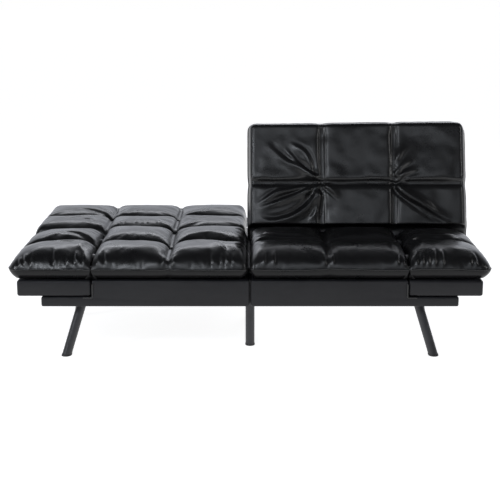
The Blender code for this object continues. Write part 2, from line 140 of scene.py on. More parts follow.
# Studio. A ramp is (from low, from high, to low, to high)
WORLD_BEHIND = (-0.1, 0.75, 0.0, 1.0)
WORLD_ABOVE = (0.28, 0.72, 0.95, 0.05)
WORLD_DIM = 0.05
SKY = (0.89, 0.92, 1.0)
COOL = (0.88, 0.93, 1.0)
FLOOR_HALF = 60.0
LIGHTS = (  # name, place, target, size, power, colour
    ("rear_box", (0.0, 3.4, 3.0), (0.0, 0.2, 0.3), (5.0, 0.8), 55, (0.92, 0.94, 1.0)),
    ("front_box", (-1.4, -4.6, 3.6), (0.2, 0.0, 0.5), (1.1, 0.7), 34, COOL),
    ("front_sheet", (0.0, -4.8, 3.0), (0.3, 0.0, 0.5), (4.4, 1.3), 24, COOL),
    ("left_strip", (-2.6, -1.9, 1.7), (0.0, 0.0, 0.5), (0.25, 1.4), 26, (0.9, 0.94, 1.0)),
    ("right_strip", (3.0, -1.2, 1.8), (0.2, 0.0, 0.5), (0.25, 1.4), 10, (1.0, 1.0, 1.0)),
)


# Small helpers
def smooth(t):
    t = np.clip(t, 0.0, 1.0)
    return t * t * (3 - 2 * t)


def hollow(t):
    """1 at an edge, falling to 0 one radius in, along a quarter of an ellipse."""
    t = np.clip(t, 0.0, 1.0)
    return 1 - np.sqrt(np.maximum(0.0, 1 - (1 - t) ** 2))


def wave(points, scale, seed):
    """Smooth noise from -1 to 1 at each point."""
    shift = Vector((seed * 7.31, seed * 3.17, seed * 5.53))
    return np.array([noise.noise(Vector(p) * scale + shift) for p in points])


def positions(mesh, field="co"):
    found = np.empty(len(mesh.vertices) * 3, np.float64)
    mesh.vertices.foreach_get(field, found)
    return found.reshape(-1, 3)


def set_positions(mesh, places):
    mesh.vertices.foreach_set("co", np.asarray(places, np.float64).reshape(-1))
    mesh.update()


def vertex_normals(mesh):
    return positions(mesh, "normal")


def rim_of(index):
    """The outer points of a grid, once round."""
    return list(index[:, 0]) + list(index[-1, 1:]) + list(index[-2::-1, -1]) + list(index[0, -2:0:-1])


def squares_of(index):
    columns, rows = index.shape
    return [
        (index[i, j], index[i + 1, j], index[i + 1, j + 1], index[i, j + 1])
        for i in range(columns - 1)
        for j in range(rows - 1)
    ]


def finish_mesh(mesh, cap=False):
    """Turns the faces outwards and shades them smooth; cap also closes what is open."""
    bm = bmesh.new()
    bm.from_mesh(mesh)
    if cap:
        bmesh.ops.holes_fill(bm, edges=[edge for edge in bm.edges if edge.is_boundary], sides=0)
    bmesh.ops.recalc_face_normals(bm, faces=bm.faces)
    bm.to_mesh(mesh)
    bm.free()
    mesh.shade_smooth()


def in_scene(name, data):
    made = bpy.data.objects.new(name, data)
    bpy.context.scene.collection.objects.link(made)
    return made


def new_object(name, points, faces, material):
    mesh = bpy.data.meshes.new(name)
    mesh.from_pydata([tuple(p) for p in points], [], [tuple(int(v) for v in face) for face in faces])
    mesh.validate()
    finish_mesh(mesh)
    mesh.materials.append(material)
    return in_scene(name, mesh)


def apply_modifiers(made):
    """Gives the object the mesh that its modifiers make."""
    graph = bpy.context.evaluated_depsgraph_get()
    mesh = bpy.data.meshes.new_from_object(made.evaluated_get(graph))
    made.modifiers.clear()
    old, made.data = made.data, mesh
    bpy.data.meshes.remove(old)
    mesh.name = made.name
    return mesh


# Materials
RAMP = ("From Min", "From Max", "To Min", "To Max")


def sockets_of(mix):
    """A colour mix node's two colour inputs and its colour output."""
    colours = [socket for socket in mix.inputs if socket.type == "RGBA"]
    return *colours, next(socket for socket in mix.outputs if socket.type == "RGBA")


class Nodes:
    """A material's node tree, built by name."""

    def __init__(self, name):
        self.material = bpy.data.materials.new(name)
        self.material.use_nodes = True
        self.tree = self.material.node_tree
        self.shader = self.tree.nodes["Principled BSDF"]
        self.place = self.add("ShaderNodeTexCoord").outputs["Object"]

    def add(self, kind, **values):
        node = self.tree.nodes.new(kind)
        for key, value in values.items():
            node.inputs[key].default_value = value
        return node

    def link(self, a, b):
        self.tree.links.new(a, b)

    def noise(self, scale, detail=2.0, roughness=0.5, stretch=None):
        node = self.add("ShaderNodeTexNoise", Scale=scale, Detail=detail, Roughness=roughness)
        place = self.place
        if stretch:
            mapping = self.add("ShaderNodeMapping", Scale=stretch)
            self.link(self.place, mapping.inputs["Vector"])
            place = mapping.outputs["Vector"]
        self.link(place, node.inputs["Vector"])
        return node.outputs["Fac"]

    def cells(self, scale):
        node = self.add("ShaderNodeTexVoronoi", Scale=scale)
        self.link(self.place, node.inputs["Vector"])
        return node.outputs["Distance"]

    def ramp(self, source, low, high, out_low, out_high):
        node = self.add("ShaderNodeMapRange", **dict(zip(RAMP, (low, high, out_low, out_high))))
        self.link(source, node.inputs["Value"])
        return node.outputs["Result"]

    def bump(self, height, distance, strength=1.0, below=None):
        node = self.add("ShaderNodeBump", Strength=strength, Distance=distance)
        self.link(height, node.inputs["Height"])
        if below:
            self.link(below, node.inputs["Normal"])
        return node.outputs["Normal"]

    def colour_mix(self, factor, first, second):
        node = self.add("ShaderNodeMix")
        node.data_type = "RGBA"
        a, b, mixed = sockets_of(node)
        a.default_value, b.default_value = (*first, 1.0), (*second, 1.0)
        self.link(factor, node.inputs["Factor"])
        return mixed

    def patchy(self, source, low, high, first, second):
        """One colour where the source is at low, another where it is at high."""
        return self.colour_mix(self.ramp(source, low, high, 0.0, 1.0), first, second)

    def set(self, **values):
        for key, value in values.items():
            socket = self.shader.inputs[key.replace("_", " ").title().replace("Ior", "IOR")]
            if isinstance(value, bpy.types.NodeSocket):
                self.link(value, socket)
            else:
                socket.default_value = value


def leather(name, dark, light, smoothest, roughest, crease=0.0005, slack=0.0, shine=0.5):
    """Coated imitation leather: pebbled grain, fine creases, and a sheen that wears unevenly."""
    made = Nodes(name)
    patches = made.noise(7.0, detail=4.0, roughness=0.6)
    grain = made.cells(760.0)
    pores = made.noise(1500.0, detail=1.0)
    creases = made.noise(34.0, detail=3.0, roughness=0.55)
    normal = made.bump(creases, crease, 0.7)
    if slack:
        normal = made.bump(made.noise(9.0, detail=2.0, stretch=(0.6, 1.0, 1.6)), slack, 1.0, normal)
    normal = made.bump(grain, 0.00004, 0.35, normal)
    normal = made.bump(pores, 0.00002, 0.25, normal)
    made.set(
        base_color=made.patchy(patches, 0.35, 0.65, dark, light),
        roughness=made.ramp(patches, 0.3, 0.7, smoothest, roughest),
        specular_ior_level=shine,
        normal=normal,
    )
    return made.material


def powder_coat(name, colour, roughness):
    """Baked powder paint: a fine orange-peel skin, a little rubbed."""
    made = Nodes(name)
    peel = made.noise(900.0, detail=2.0)
    rubbed = made.noise(22.0, detail=5.0, roughness=0.7)
    lighter = tuple(channel * 1.5 for channel in colour)
    made.set(
        base_color=made.patchy(rubbed, 0.45, 0.75, colour, lighter),
        roughness=made.ramp(rubbed, 0.3, 0.7, roughness - 0.06, roughness + 0.08),
        normal=made.bump(peel, 0.00008, 0.5),
    )
    return made.material


def plated_steel(name):
    """Zinc-plated pressed steel with faint rolling marks."""
    made = Nodes(name)
    rolled = made.noise(60.0, detail=4.0, stretch=(1.0, 14.0, 14.0))
    stain = made.noise(30.0, detail=3.0)
    made.set(
        base_color=made.colour_mix(stain, (0.26, 0.26, 0.27), (0.4, 0.4, 0.41)),
        metallic=1.0,
        roughness=made.ramp(rolled, 0.3, 0.7, 0.3, 0.48),
        normal=made.bump(rolled, 0.00004, 0.5),
    )
    return made.material


def plywood(name):
    """Birch ply: long grain with darker pores."""
    made = Nodes(name)
    grain = made.noise(24.0, detail=6.0, roughness=0.65, stretch=(1.0, 9.0, 30.0))
    made.set(
        base_color=made.patchy(grain, 0.35, 0.65, (0.3, 0.19, 0.1), (0.58, 0.42, 0.25)),
        roughness=made.ramp(grain, 0.3, 0.7, 0.5, 0.7),
        normal=made.bump(grain, 0.0002, 0.5),
    )
    return made.material


def spun_lining(name):
    """Black spun-bonded dust cloth: pressed dots and tangled fibres."""
    made = Nodes(name)
    fibres = made.noise(700.0, detail=3.0)
    dots = made.cells(420.0)
    slack = made.bump(made.noise(8.0, detail=3.0, stretch=(1.0, 0.5, 1.0)), 0.012, 1.0)
    made.set(
        base_color=made.patchy(fibres, 0.35, 0.65, (0.012, 0.012, 0.013), (0.035, 0.035, 0.036)),
        roughness=0.92,
        normal=made.bump(dots, 0.0002, 0.6, made.bump(fibres, 0.0002, 0.5, slack)),
    )
    return made.material


def moulded_plastic(name):
    """Black nylon with a fine moulded skin, dulled in patches."""
    made = Nodes(name)
    skin = made.noise(1200.0, detail=2.0)
    scuffs = made.noise(45.0, detail=5.0, roughness=0.7)
    made.set(
        base_color=made.patchy(scuffs, 0.4, 0.7, (0.012, 0.012, 0.013), (0.024, 0.024, 0.025)),
        roughness=made.ramp(scuffs, 0.3, 0.7, 0.45, 0.62),
        normal=made.bump(skin, 0.00006, 0.5),
    )
    return made.material


def thread(name):
    """Twisted polyester sewing thread."""
    made = Nodes(name)
    twist = made.noise(1600.0, detail=2.0)
    made.set(
        base_color=made.colour_mix(twist, (0.012, 0.012, 0.013), (0.03, 0.03, 0.032)),
        roughness=0.6,
        normal=made.bump(twist, 0.0001, 0.6),
    )
    return made.material


PAD_SKIN = ((0.0065, 0.0065, 0.007), (0.0095, 0.0092, 0.0096), 0.25, 0.35)
# The boxes' skin is the pads' leather with its base colour painted lighter: painted light standing in for the
# brighter, lit look of the box fronts
BOX_SKIN_PAINTED_LIGHTER = ((0.011, 0.011, 0.013), (0.015, 0.015, 0.017), 0.32, 0.44)
MATERIALS = {
    "pad_leather": leather("pad_leather", *PAD_SKIN),
    "pad_hem": leather("pad_hem", *PAD_SKIN, shine=0.2),
    "box_leather": leather("box_leather", *BOX_SKIN_PAINTED_LIGHTER, crease=0.0004, slack=0.0022, shine=0.27),
    "black_steel": powder_coat("black_steel", (0.026, 0.026, 0.029), 0.4),
    "hinge_steel": plated_steel("hinge_steel"),
    "plywood": plywood("plywood"),
    "lining": spun_lining("lining"),
    "foot_plastic": moulded_plastic("foot_plastic"),
    "thread": thread("thread"),
}


def paint_frame():
    """Every shown CAD node gets the finish of its record's material slot."""
    for node in frame["nodes"].values():
        for slot in node.material_slots:
            finish = slot.material and slot.material.name.split(".")[0]
            if finish in MATERIALS:
                slot.material = MATERIALS[finish]


# Pads: shape before filling
class Pad:
    """One stuffed pad in the +X half's flat places. xs and ys hold its two ends and its seams between them.

    kinds names each end in the order low x, high x, low y, high y: "free" or "fold"."""

    def __init__(self, name, xs, ys, kinds, radii, corners, seed, seam, fullness, rise=0.0):
        self.name, self.xs, self.ys, self.kinds, self.radii = name, xs, ys, kinds, radii
        self.corners, self.seed, self.fullness, self.rise = corners, seed, fullness, rise
        self.seam_drop, self.seam_radius, self.strip = seam

    def lines(self, places):
        """Grid lines along one direction, with three along each seam; and which of them are seams."""
        found, seams = [places[0]], []
        last = len(places) - 2
        for i, (a, b) in enumerate(zip(places, places[1:])):
            low = a + (self.strip if i else 0.0)
            high = b - (self.strip if i < last else 0.0)
            count = max(4, round((high - low) / GRID))
            found += [low + (high - low) * k / count for k in range(0 if i else 1, count + 1)]
            if i < last:
                seams.append(len(found))
                found.append(b)
        return np.array(found), seams

    def drop(self, x, y):
        """How far the skin lies below the pad's top, as seams and edges pull it down."""
        full = PAD_TOP - WELT_Z
        keep = np.ones_like(x)
        for places, value, kinds, radii in (
            (self.xs, x, self.kinds[:2], self.radii[:2]),
            (self.ys, y, self.kinds[2:], self.radii[2:]),
        ):
            for end, kind, radius in zip((0, -1), kinds, radii):
                depth = 1.0 if kind == "free" else (PAD_TOP - FOLD_Z) / full
                keep *= 1 - depth * hollow(np.abs(value - places[end]) / radius)
            calm = self.calm(x, y)
            for seam in places[1:-1]:
                away = np.maximum(0.0, np.abs(value - seam) - self.strip)
                keep *= 1 - calm * self.seam_drop / full * hollow(away / self.seam_radius)
        return full * (1 - keep)

    def calm(self, x, y):
        """How much of their depth the seams keep: less close to a free edge."""
        found = np.ones_like(x)
        for places, value, kinds in ((self.xs, x, self.kinds[:2]), (self.ys, y, self.kinds[2:])):
            for end, kind in zip((0, -1), kinds):
                if kind == "free":
                    found *= 0.35 + 0.65 * smooth(np.abs(value - places[end]) / SEAM_FADE)
        return found

    def plan(self, x, y):
        """Rounds the plan's corners and pulls the free edges in at the seams."""
        x, y = x.copy(), y.copy()
        across = smooth((x - self.xs[0]) / (self.xs[-1] - self.xs[0]))
        y = y + self.rise * across * smooth((y - self.ys[1]) / (self.ys[-1] - self.ys[1]))
        low, high = np.array([self.xs[0], self.ys[0]]), np.array([self.xs[-1], self.ys[-1]])
        for (side_x, side_y), radius in self.corners.items():
            cx = (high if side_x > 0 else low)[0] - side_x * radius
            cy = (high if side_y > 0 else low)[1] - side_y * radius
            a = np.clip((x - cx) * side_x / radius, 0, 1)
            b = np.clip((y - cy) * side_y / radius, 0, 1)
            near = (a > 0) & (b > 0)
            x = np.where(near, cx + side_x * radius * a * np.sqrt(1 - b * b / 2), x)
            y = np.where(near, cy + side_y * radius * b * np.sqrt(1 - a * a / 2), y)
        pull_x = sum(np.exp(-(((x - seam) / NOTCH_WIDTH) ** 2)) for seam in self.xs[1:-1])
        pull_y = sum(np.exp(-(((y - seam) / NOTCH_WIDTH) ** 2)) for seam in self.ys[1:-1])
        for end, sign, kind in ((0, 1, self.kinds[2]), (-1, -1, self.kinds[3])):
            if kind == "free":
                y = y + sign * NOTCH * pull_x * smooth(1 - np.abs(y - self.ys[end]) / NOTCH_REACH)
        for end, sign, kind in ((0, 1, self.kinds[0]), (-1, -1, self.kinds[1])):
            if kind == "free":
                x = x + sign * NOTCH * pull_y * smooth(1 - np.abs(x - self.xs[end]) / NOTCH_REACH)
        return x, y

    def wander(self, x, y, z):
        """Seams that aren't quite straight and cells that aren't quite alike; the sewn outline stays put."""
        inside = np.ones_like(x)
        for places, value in ((self.xs, x), (self.ys, y)):
            for end in (places[0], places[-1]):
                inside *= smooth(np.abs(value - end) / 0.07)
        flat = np.stack([x, y, np.zeros_like(x)], 1)
        x = x + inside * 0.0035 * wave(flat, 7.0, self.seed)
        y = y + inside * 0.0045 * wave(flat, 7.0, self.seed + 11)
        lumps = 0.0045 * wave(flat, 8.0, self.seed + 23) + 0.002 * wave(flat, 21.0, self.seed + 31)
        z = z + inside * lumps
        return x, y, z

    def build(self):
        """Makes the closed pad and remembers which of its points are sewn down."""
        lines_x, seams_x = self.lines(self.xs)
        lines_y, seams_y = self.lines(self.ys)
        nx, ny = len(lines_x), len(lines_y)
        gx, gy = np.meshgrid(lines_x, lines_y, indexing="ij")
        x0, y0 = gx.ravel(), gy.ravel()
        z = PAD_TOP - self.drop(x0, y0)
        for places, value in ((self.xs, x0), (self.ys, y0)):
            for seam in places[1:-1]:
                z = z + BAND_HEIGHT * np.exp(-((np.abs(value - seam) / (0.5 * self.strip)) ** 2))
        x, y = self.plan(x0, y0)
        x, y, z = self.wander(x, y, z)
        top = np.stack([x, y, z], 1)
        index = np.arange(nx * ny).reshape(nx, ny)
        ring = rim_of(index)
        outline = top[ring]
        ahead, behind = np.roll(outline, -1, 0), np.roll(outline, 1, 0)
        along = (ahead - behind)[:, :2]
        along /= np.linalg.norm(along, axis=1)[:, None]
        outward = np.stack([along[:, 1], -along[:, 0]], 1)
        ripple = wave(outline, 38.0, self.seed + 41)
        welt_wave = 0.0085 * wave(outline, 4.5, self.seed + 47) + 0.0022 * ripple
        free = (outline[:, 2] < WELT_Z + ABOVE_WELT).astype(float)
        top[ring, 2] += welt_wave * free
        outline = top[ring]
        points, faces, rings = [top], squares_of(index), [ring]
        for share, out in SIDE_ROWS:
            row = outline.copy()
            reach = free * (out + 0.003 * ripple * (1 - share)) - 0.0004 * (1 - free)
            row[:, :2] += outward * reach[:, None]
            row[:, 2] += (PAD_BASE - outline[:, 2]) * share
            start = sum(len(part) for part in points)
            rings.append(list(range(start, start + len(ring))))
            points.append(row)
        count = len(ring)
        for upper, lower in zip(rings, rings[1:]):
            for k in range(count):
                m = (k + 1) % count
                faces.append((upper[m], upper[k], lower[k], lower[m]))
        self.made = new_object(self.name, np.concatenate(points), faces, MATERIALS["pad_leather"])
        self.made.data.materials.append(MATERIALS["pad_hem"])
        for face in self.made.data.polygons:
            face.material_index = int(max(face.vertices) >= nx * ny)
        sewn = np.zeros(len(self.made.data.vertices))
        for i in seams_x:
            sewn[index[i - 1 : i + 2, :].ravel()] = 1.0
        for j in seams_y:
            sewn[index[:, j - 1 : j + 2].ravel()] = 1.0
        for row in rings:
            sewn[row] = 1.0
        self.sewn, self.extra = sewn, np.zeros(len(sewn))
        self.extra[: nx * ny] = self.gathers(x0, y0)
        self.ring, self.outward, self.index = ring, outward, index
        self.seams_x, self.seams_y = seams_x, seams_y
        self.free = free > 0
        return self.made

    def gathers(self, x, y):
        """Where the skin was gathered as it was sewn: at free edges, and where seams cross."""
        found = np.zeros_like(x)
        for places, value, kinds in ((self.xs, x, self.kinds[:2]), (self.ys, y, self.kinds[2:])):
            for end, kind in zip((0, -1), kinds):
                if kind == "free":
                    found = np.maximum(found, np.exp(-np.abs(value - places[end]) / GATHER_EDGE))
        for px in self.xs:
            for py in self.ys:
                found = np.maximum(found, np.exp(-np.hypot(x - px, y - py) / GATHER_CROSSING))
        return np.clip(found, 0, 1)


def half_pads(side):
    """The three pads of one half, in the +X half's places."""
    seed = {"left": 3, "right": 8}[side]
    seam = {"left": DEEP_SEAM, "right": SLACK_SEAM}[side]
    front, rear = SEAT_LOW.y + EDGE_IN, FLAT_BACK_HIGH.y + 0.004
    inner, outer = SEAT_INNER[side], ARM_HIGH.x - EDGE_IN
    back_outer = abs(FLAT_BACK_LOW.x)
    seat = Pad(
        f"pad_seat_{side}", (inner, SEAM_B[side], ARM_AXIS.x), (front, ROW_1, BACK_AXIS.y),
        ("free", "fold", "free", "fold"), (0.045, 0.055, 0.125, 0.06), {(-1, -1): 0.03},
        seed, seam, SEAT_FULLNESS[side],
    )
    arm = Pad(
        f"pad_arm_{side}", (ARM_AXIS.x, outer), (front, ROW_1, ARM_REAR),
        ("fold", "free", "free", "fold"), (0.055, 0.14, 0.125, 0.06), {(1, -1): 0.045, (1, 1): 0.03},
        seed + 100, seam, ARM_FULLNESS,
    )
    back = Pad(
        f"pad_back_{side}", (BACK_INNER[side], SEAM_B[side], ARM_AXIS.x, back_outer),
        (BACK_AXIS.y, ROW_3[side], rear), ("free", "free", "fold", "free"), BACK_RADII[side],
        {(-1, 1): 0.035, (1, 1): 0.045, (1, -1): 0.025},
        seed + 200, BACK_SEAM[side], BACK_FULLNESS[side], BACK_RISE[side],
    )
    return {"seat": seat, "arm": arm, "back": back}


# Filling: cloth under pressure, held at its seams
CLOTH = {
    "quality": 6, "mass": 0.2, "tension_stiffness": 22, "compression_stiffness": 22, "shear_stiffness": 8,
    "bending_stiffness": 0.35, "air_damping": 2.0, "vertex_group_mass": "sewn", "pin_stiffness": 1.0,
    "use_pressure": True, "uniform_pressure_force": 3.2, "vertex_group_shrink": "full",
}


def add_cloth(pad):
    made = pad.made
    held = made.vertex_groups.new(name="sewn")
    full = made.vertex_groups.new(name="full")
    for i, (weight, extra) in enumerate(zip(pad.sewn, pad.extra)):
        held.add([i], float(weight), "REPLACE")
        full.add([i], float(extra), "REPLACE")
    modifier = made.modifiers.new("filling", "CLOTH")
    cloth = modifier.settings
    for key, value in CLOTH.items():
        setattr(cloth, key, value)
    cloth.shrink_min, cloth.shrink_max = pad.fullness
    cloth.effector_weights.gravity = 0.0
    modifier.collision_settings.use_collision = False
    modifier.collision_settings.use_self_collision = False
    modifier.point_cache.frame_start = 1
    modifier.point_cache.frame_end = FRAMES


def fill(pads):
    """Runs all the pads' cloth together, keeps the result within the cap, and leaves plain meshes."""
    before = {pad: positions(pad.made.data) for pad in pads}
    for pad in pads:
        add_cloth(pad)
    scene = bpy.context.scene
    for step in range(1, FRAMES + 1):
        scene.frame_set(step)
    graph = bpy.context.evaluated_depsgraph_get()
    for pad in pads:
        settled = positions(pad.made.evaluated_get(graph).data)
        move = settled - before[pad]
        reach = np.linalg.norm(move, axis=1)
        share = np.minimum(1.0, SWELL_CAP / np.maximum(reach, 1e-9))
        before[pad] = before[pad] + move * share[:, None]
    scene.frame_set(1)
    for pad in pads:
        pad.made.modifiers.clear()
        pad.made.vertex_groups.clear()
        set_positions(pad.made.data, before[pad])


def refine(pad):
    """One smooth subdivision, applied, and then the pad's flat underside."""
    modifier = pad.made.modifiers.new("finer", "SUBSURF")
    modifier.levels = modifier.render_levels = 1
    finish_mesh(apply_modifiers(pad.made), cap=True)


def away_from_seams(pad):
    """The points of the pad's top that lie clear of its seams and its sewn outline."""
    places = positions(pad.made.data)
    clear = places[:, 2] > WELT_Z + ABOVE_WELT
    for seams, value in ((pad.xs[1:-1], places[:, 0]), (pad.ys[1:-1], places[:, 1])):
        for seam in seams:
            clear &= np.abs(value - seam) > pad.strip + 0.004
    return np.flatnonzero(clear)


# Creases: folds of slack skin, each along a path of (x, y) places on the flat pad
def path_through(stops, count=40):
    """Points evenly spread in parameter on a smooth curve through the stops."""
    stops = np.asarray(stops, float)
    ends = np.vstack([2 * stops[0] - stops[1], stops, 2 * stops[-1] - stops[-2]])
    found = []
    for value in np.linspace(0, len(stops) - 1, count):
        k = min(int(value), len(stops) - 2)
        t = value - k
        a, b, c, d = ends[k : k + 4]
        curve = 2 * b + (c - a) * t + (2 * a - 5 * b + 4 * c - d) * t**2 + (3 * b - a - 3 * c + d) * t**3
        found.append(0.5 * curve)
    return np.array(found)


def crease(piece, stops, height, width, steep=0.55, taper=(0.1, 0.75)):
    """Raises a fold along the path: steep on its right, with a trough beyond, and gentle on its left.

    taper is the share of the path over which it rises, and from which it starts to fade."""
    mesh = piece.data
    places, normals = positions(mesh), vertex_normals(mesh)
    line = path_through(stops)
    spans = line[1:] - line[:-1]
    lengths = (spans**2).sum(1)
    flat, reach = places[:, :2], 5 * width
    around = ((flat > line.min(0) - reach) & (flat < line.max(0) + reach)).all(1)
    near = np.flatnonzero(around & (places[:, 2] > WELT_Z + 0.006))
    if not len(near):
        return near
    away = places[near, None, :2] - line[None, :-1]
    share = np.clip((away * spans[None]).sum(2) / lengths[None], 0, 1)
    apart = away - share[..., None] * spans[None]
    gaps = np.hypot(apart[..., 0], apart[..., 1])
    best = gaps.argmin(1)
    rows = np.arange(len(near))
    gap = gaps[rows, best]
    cross = spans[best, 0] * away[rows, best, 1] - spans[best, 1] * away[rows, best, 0]
    along = (best + share[rows, best]) / len(spans)
    signed = np.where(cross > 0, gap, -gap)
    ridge = np.where(
        signed > 0, np.exp(-((signed / (1.5 * width)) ** 2)), np.exp(-((signed / (steep * width)) ** 2))
    )
    trough = 0.55 * np.exp(-(((signed + 1.25 * width) / (0.65 * width)) ** 2))
    fade = smooth(along / taper[0]) * smooth((1 - along) / (1 - taper[1]))
    fade *= smooth((places[near, 2] - WELT_Z - 0.004) / 0.022)
    lift = height * (ridge - trough) * fade
    places[near] += normals[near] * lift[:, None]
    set_positions(mesh, places)
    return near[np.abs(lift) > 0.0002]


def relax(piece, where, rounds=4):
    """Evens out the points that folds have moved, where several folds run into one another."""
    mesh = piece.data
    places = positions(mesh)
    ends = np.empty(2 * len(mesh.edges), int)
    mesh.edges.foreach_get("vertices", ends)
    a, b = ends.reshape(-1, 2).T
    held = np.zeros(len(places))
    held[where] = 0.5
    degree = np.maximum(np.bincount(ends, minlength=len(places)), 1)[:, None]
    for _ in range(rounds):
        near = np.zeros_like(places)
        np.add.at(near, a, places[b])
        np.add.at(near, b, places[a])
        places += held[:, None] * (near / degree - places)
    set_positions(mesh, places)


def fan(piece, centre, start_deg, end_deg, count, reach, height, width, seed):
    """Short pleats that radiate from where seams cross, each a little different."""
    for k in range(count):
        jitter = noise.noise(Vector((seed * 3.7, k * 5.1, 0.3)))
        other = noise.noise(Vector((seed * 1.9, k * 2.3, 7.7)))
        angle = math.radians(start_deg + (end_deg - start_deg) * (k + 0.5 + 0.5 * jitter) / count)
        length = reach * (0.75 + 0.5 * other)
        bend = 0.25 * length * jitter
        ahead = np.array([math.cos(angle), math.sin(angle)])
        aside = np.array([-ahead[1], ahead[0]])
        stops = [centre + ahead * r * length + aside * bend * math.sin(math.pi * r) for r in (0.1, 0.5, 1.0)]
        crease(piece, stops, height * (0.8 + 0.5 * other), width * (0.9 + 0.3 * jitter), taper=(0.15, 0.35))


def pleats(piece, places, y_from, reach, height, width, seed):
    """Short folds that run in from a gathered edge that lies along X."""
    for k, x in enumerate(places):
        lean = 0.35 * reach * noise.noise(Vector((seed * 2.1, k * 4.7, 1.3)))
        size = 1.0 + 0.6 * noise.noise(Vector((seed * 5.3, k * 3.1, 2.9)))
        far = reach * size
        stops = [(x, y_from), (x + 0.4 * lean, y_from + 0.5 * far), (x + lean, y_from + far)]
        crease(piece, stops, height * size, width * (0.7 + 0.3 * size), taper=(0.25, 0.35))


def crease_all(piece, folds, line, height=1.0, width=1.0, taper=(0.1, 0.55)):
    """Makes all of a pad's folds. Their stops are (x, distance in y past the line)."""
    moved = [
        crease(piece, [(x, line + y) for x, y in stops], height * high, width * wide, taper=taper)
        for stops, high, wide in folds
    ]
    relax(piece, np.concatenate(moved))


# Folds: (stops, height, width). The seats' and arms' stops count y from ROW_1, the backs' from BACK_AXIS.y
FRONT_FOLDS = {
    ("seat", "left"): (
        (((SEAM_B["left"] - 0.015, 0.015), (0.21, 0.07), (0.08, 0.085)), 0.006, 0.015),
        (((SEAM_B["left"] - 0.012, -0.01), (0.2, -0.06), (0.09, -0.07)), 0.005, 0.014),
        (((0.135, -0.105), (0.11, -0.15), (0.095, -0.2)), 0.005, 0.013),
        (((0.59, -0.015), (0.52, -0.07), (0.44, -0.08)), 0.003, 0.013),
    ),
    ("seat", "right"): (
        (((0.02, 0.01), (0.1, 0.02), (0.2, 0.012), (0.29, -0.012)), 0.0045, 0.014),
        (((0.045, 0.09), (0.14, 0.06), (0.26, 0.045)), 0.003, 0.013),
        (((0.59, 0.01), (0.52, 0.06), (0.44, 0.075)), 0.0045, 0.014),
        (((0.585, -0.02), (0.56, -0.11), (0.575, -0.2)), 0.0045, 0.013),
    ),
    ("arm", "left"): (
        (((0.625, -0.012), (0.7, -0.07), (0.8, -0.085)), 0.004, 0.014),
        (((0.622, 0.02), (0.69, 0.08), (0.79, 0.11)), 0.0045, 0.014),
        (((0.64, -0.06), (0.655, -0.14), (0.64, -0.2)), 0.004, 0.012),
    ),
    ("arm", "right"): (
        (((0.622, 0.01), (0.69, 0.045), (0.77, 0.04), (0.85, 0.07)), 0.006, 0.014),
        (((0.625, 0.05), (0.7, 0.11), (0.8, 0.125)), 0.004, 0.013),
        (((0.625, -0.02), (0.66, -0.09), (0.665, -0.17)), 0.005, 0.013),
    ),
}
GATHERED = {  # where along X the front edge is gathered
    ("seat", "left"): (0.062, 0.085, 0.108, 0.14, 0.292, 0.33, 0.545, 0.578),
    ("seat", "right"): (0.055, 0.092, 0.285, 0.318, 0.56, 0.584),
    ("arm", "left"): (0.632, 0.66, 0.69, 0.742, 0.828, 0.852, 0.872),
    ("arm", "right"): (0.634, 0.656, 0.678, 0.702, 0.735, 0.838, 0.862),
}
# reach, height, width, seed
GATHER_SIZE = {"seat": (0.06, 0.0042, 0.0075, 5), "arm": (0.066, 0.005, 0.0075, 9)}
BACK_GATHERED = (0.352, 0.38, 0.397, 0.436, 0.462, 0.486, 0.53, 0.552)
FLAT_FOLDS = (  # the left back, lying flat: slack folds around its second and third rows
    (((0.59, 0.245), (0.64, 0.285), (0.72, 0.33), (0.8, 0.35)), 0.005, 0.014),
    (((0.598, 0.27), (0.63, 0.33), (0.69, 0.39)), 0.004, 0.012),
    (((0.575, 0.262), (0.54, 0.33), (0.47, 0.38)), 0.0025, 0.012),
    (((0.625, 0.215), (0.69, 0.19), (0.76, 0.14), (0.85, 0.11)), 0.0045, 0.015),
    (((0.655, 0.075), (0.69, 0.11), (0.735, 0.105)), 0.004, 0.01),
    (((0.3, 0.22), (0.235, 0.165), (0.15, 0.13), (0.05, 0.12)), 0.005, 0.016),
    (((0.3, 0.255), (0.23, 0.29), (0.14, 0.31), (0.06, 0.3)), 0.004, 0.014),
    (((0.295, 0.2), (0.25, 0.12), (0.19, 0.075)), 0.003, 0.012),
)
